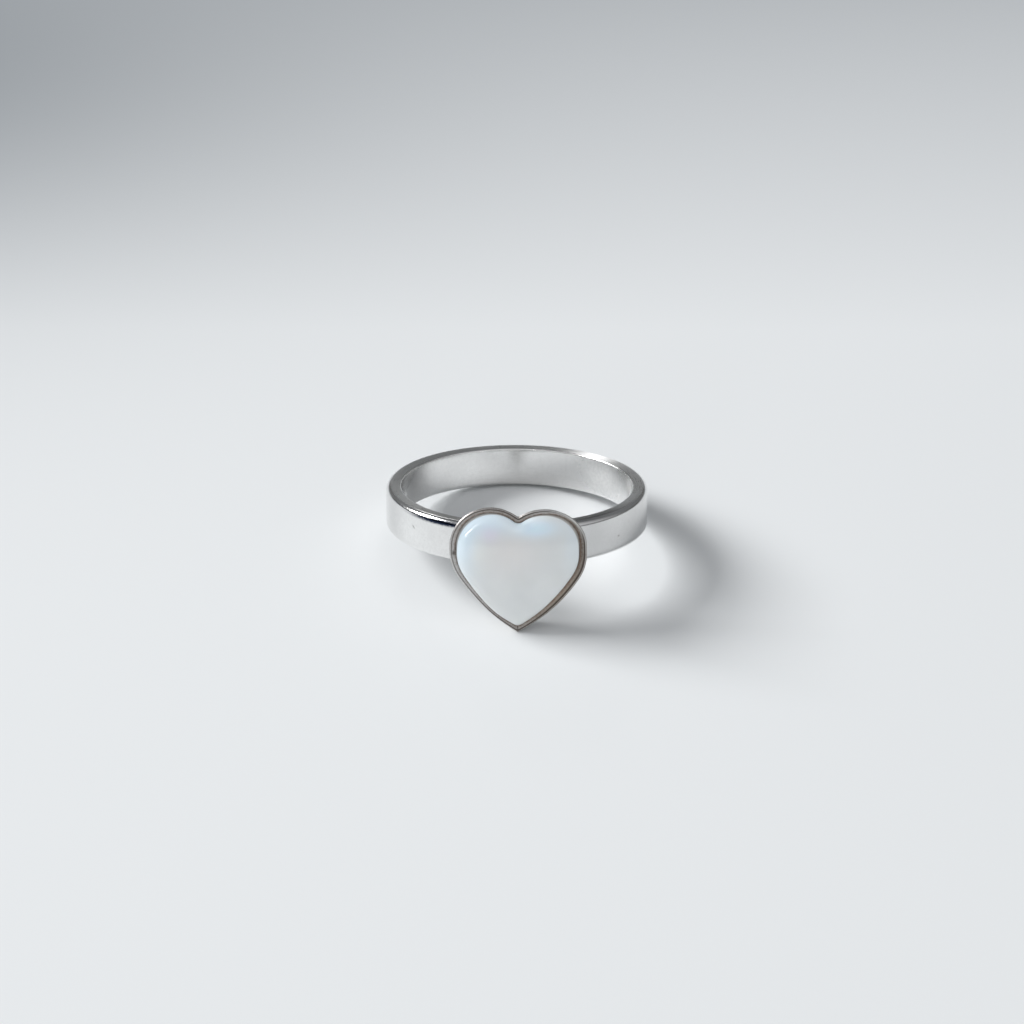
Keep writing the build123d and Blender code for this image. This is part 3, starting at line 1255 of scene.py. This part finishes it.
# Partly the stone's own colour and partly painted reflection; summed, the patches drive the painted glow.
painted_glow_amount = 0.0
for middle, reach, strength in blue_patches:
    patch = times(soft_spot(ring_mm, middle, reach), strength)
    body = tint(patch, body, pale_blue)
    painted_glow_amount = calculate("ADD", painted_glow_amount, patch)
# Painted shade: right under the cleft the stone is darker and bluer.
cleft_shade = times(soft_spot(ring_mm, (0.5, -11.1, 2.1), (0.5, 3.0, 0.35)), 0.6)
body = tint(cleft_shade, body, cleft_blue)

sunk = rescale(split(ring_mm)["Y"], -10.99, -10.94)  # 1 where the stone goes below the rim
lit = calculate("SUBTRACT", 1.0, calculate("MAXIMUM", sunk, cleft_shade))
glow = tint(times(painted_glow_amount, lit), glow_black, painted_glow_blue)
shader.id_data.links.new(glow, shader.inputs["Emission Color"])
print(f"{len(blue_patches)} blue patches")

# %% [markdown]
# ## Cream, lilac and the stone's edge
# Beside the blue lie two breaths of its opposite colours, cream on the left and lilac above it, and they
# do most to make the stone look like itself. Where the stone sinks below the rim it turns brown, with
# dirt and painted shade of the gap beside it.

# %% Stone, last tints
cream, lilac, edge_brown = (0.98, 0.97, 0.89), (0.92, 0.86, 0.98), (0.22, 0.15, 0.10)
cream_patch = soft_spot(ring_mm, (-3.0, -11.1, -0.1), (0.8, 3.0, 1.2))
lilac_patch = soft_spot(ring_mm, (-2.0, -11.2, 1.4), (0.7, 3.0, 0.6))
body = tint(times(cream_patch, 0.5), body, cream)
body = tint(times(lilac_patch, 0.6), body, lilac)
# Dirt and painted shade: brown where the stone sinks below the rim.
body = tint(times(sunk, 0.6), body, edge_brown)
polish = rescale(clouds(ring_mm, 0.8), 0, 1, 0.10, 0.16)
end_finish(milky_stone, shader, body, polish, milk, bump_depth=0.002)

# %% [markdown]
# ## Solder
# Solder is a softer, slightly yellower silver. No tool reaches into its corner to polish it, so it stays
# dull and a little pitted. One small speckle drives its colour, its sheen and its bump together, because
# a pit is darker and rougher at once.

# %% Solder
dull_solder, shader, ring_mm = start_finish("dull_solder", metallic=1)
pits = clouds(ring_mm, 0.12, 4.0)
pit_grey, solder_silver = (0.52, 0.51, 0.48), (0.74, 0.73, 0.70)
solder_colour = tint(pits, pit_grey, solder_silver)
sheen = rescale(pits, 0, 1, 0.45, 0.3)
end_finish(dull_solder, shader, solder_colour, sheen, pits, bump_depth=0.01)

# %% [markdown]
# ## Dressing the ring
# Each piece gets its finishes, rides on the ring's one body, and stands for the solid it is laid over.
# The skin has already numbered the faces, so the order of the finishes in each list matters.

# %% Dress
dressed = [
    (ring_band, "band_with_bezel", "silver", [satin_silver, brushed_silver]),
    (heart_bezel, "band_with_bezel", "silver", [satin_silver, darkened_rim]),
    (solder_seam, "band_with_bezel", "silver", [dull_solder]),
    (milky_cabochon, "heart_stone", "milky_stone", [milky_stone]),
]
for piece, node, slot, finishes in dressed:
    for finish in finishes:
        piece.data.materials.append(finish)
    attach(piece, "root")
    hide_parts(node)
    print(f"{piece.name} stands for {node}")

# %% [markdown]
# ## Floor
# A plain pale floor, large enough to fill every view. It is matt, because the least gloss would mirror
# the room at the flat angles far behind the ring. It darkens softly towards the back, most of all in the
# left corner and less at the right, as light does with distance. A nearer window would do this by itself,
# but it would change what the silver mirrors.

# %% Floor
floor_reach = 3.0  # metres
turns_round = ((-1, -1), (1, -1), (1, 1), (-1, 1))
floor_mesh = bpy.data.meshes.new("floor")
corners = [(floor_reach * x, floor_reach * y, 0) for x, y in turns_round]
floor_mesh.from_pydata(corners, [], [(0, 1, 2, 3)])
floor = bpy.data.objects.new("floor", floor_mesh)
bpy.context.scene.collection.objects.link(floor)

pale_floor = bpy.data.materials.new("pale_floor")
pale_floor.use_nodes = True
floor_tree = pale_floor.node_tree
floor_shader = floor_tree.nodes["Principled BSDF"]
floor_shader.inputs["Roughness"].default_value = 0.8
floor_shader.inputs["Specular IOR Level"].default_value = 0.0
on_floor = add_node(floor_tree, "ShaderNodeTexCoord").outputs["Object"]
floor_mm = on_vectors("MULTIPLY", on_floor, (1000, 1000, 1000))
near_floor, far_floor = (0.80, 0.82, 0.83), (0.32, 0.34, 0.36)
corner_floor, right_floor = (0.28, 0.30, 0.32), (0.60, 0.62, 0.64)
fade_from, fade_to = 35, 140  # mm behind the ring's middle
pale = tint(rescale(split(floor_mm)["Y"], fade_from, fade_to), near_floor, far_floor)
left_corner = soft_spot(floor_mm, (-80, 90, 0), (62, 48, 1))
pale = tint(left_corner, pale, corner_floor)
right_side = soft_spot(floor_mm, (130, 70, 0), (90, 90, 1))
pale = tint(times(right_side, 0.5), pale, right_floor)
floor_tree.links.new(pale, floor_shader.inputs["Base Color"])
floor_mesh.materials.append(pale_floor)
print(f"floor {2 * floor_reach:.0f} m across")

# %% [markdown]
# ## The window
# One soft window stands three metres away, at the left and a little behind, low enough to throw the
# ring's shadow to the right. A panel of its size gives the shadow its blur: a smaller one would cut it
# hard, and a larger one would wash it out. Two small panels stand close by, for glints alone: one behind
# the ring, for the band's top side at the back, and a slanting strip in front, for the rounded edge of
# the stone.

# %% Window
def soft_light(name, place, width, height, power, turn):
    """A light panel that faces the ring, turned on its own axis."""
    panel = bpy.data.lights.new(name, "AREA")
    panel.shape = "RECTANGLE"
    panel.size = width
    panel.size_y = height
    panel.energy = power
    light = bpy.data.objects.new(name, panel)
    facing = (-place).to_track_quat("-Z", "Y").to_matrix().to_4x4()
    light.matrix_world = Matrix.Translation(place) @ facing @ Matrix.Rotation(turn, 4, "Z")
    bpy.context.scene.collection.objects.link(light)


window_distance, glint_distance = 3.0, 0.7  # metres
window_rise = math.radians(32)
window_back = math.radians(17)
to_window = Vector((-math.cos(window_back), math.sin(window_back), math.tan(window_rise))).normalized()
to_back_glint = Vector((-0.16, 0.87, 0.47))
to_front_glint = Vector((-0.355, -0.914, 0.191))
panels = [  # (name, place, width and height in metres, watts, turn)
    ("window", to_window * window_distance, 1.3, 1.3, 104, 0.0),
    ("glint behind left", to_back_glint * glint_distance, 0.10, 0.10, 0.10, 0.0),
    ("glint in front", to_front_glint * glint_distance, 0.14, 0.015, 0.18, math.radians(45)),
]
for row in panels:
    soft_light(*row)
print(f"{len(panels)} light panels")

# %% [markdown]
# ## The room
# Silver shows what is round it, so the room matters as much as the window. It is bright in front and
# overhead, and dark at the back, near the horizon and under the window. The band's top side mirrors the
# dark back. Its rounded edges mirror all of it in turn, which draws light and dark lines along them. A
# picture of a real room would bring all this by chance; here each part is set for the ring.

# %% Room
room = bpy.data.worlds.new("room")
room.use_nodes = True
bpy.context.scene.world = room
sky = room.node_tree
direction = split(add_node(sky, "ShaderNodeTexCoord").outputs["Generated"])
rise = rescale(direction["Z"], 0.05, 0.3)
to_front = rescale(direction["Y"], 0.35, -0.25)
low_back, high_back = (0.19, 0.19, 0.185), (0.27, 0.28, 0.29)
low_front, high_front = (0.14, 0.14, 0.15), (0.92, 0.93, 0.95)
under_window, past_the_floor = (0.03, 0.035, 0.05), (1.12, 1.17, 1.20)
back_wall = tint(rise, low_back, high_back)
front_wall = tint(rise, low_front, high_front)
around = tint(to_front, back_wall, front_wall)
below_window = times(rescale(direction["X"], -0.6, -0.8), rescale(direction["Z"], 0.42, 0.32))
around = tint(below_window, around, under_window)
to_camera = add_node(sky, "ShaderNodeLightPath").outputs["Is Camera Ray"]
behind_all = tint(to_camera, around, past_the_floor)
background = sky.nodes["Background"]
sky.links.new(behind_all, background.inputs["Color"])
background.inputs["Strength"].default_value = 0.66
bpy.context.scene.view_settings.view_transform = "Standard"
print(f"room: {len(sky.nodes)} nodes")
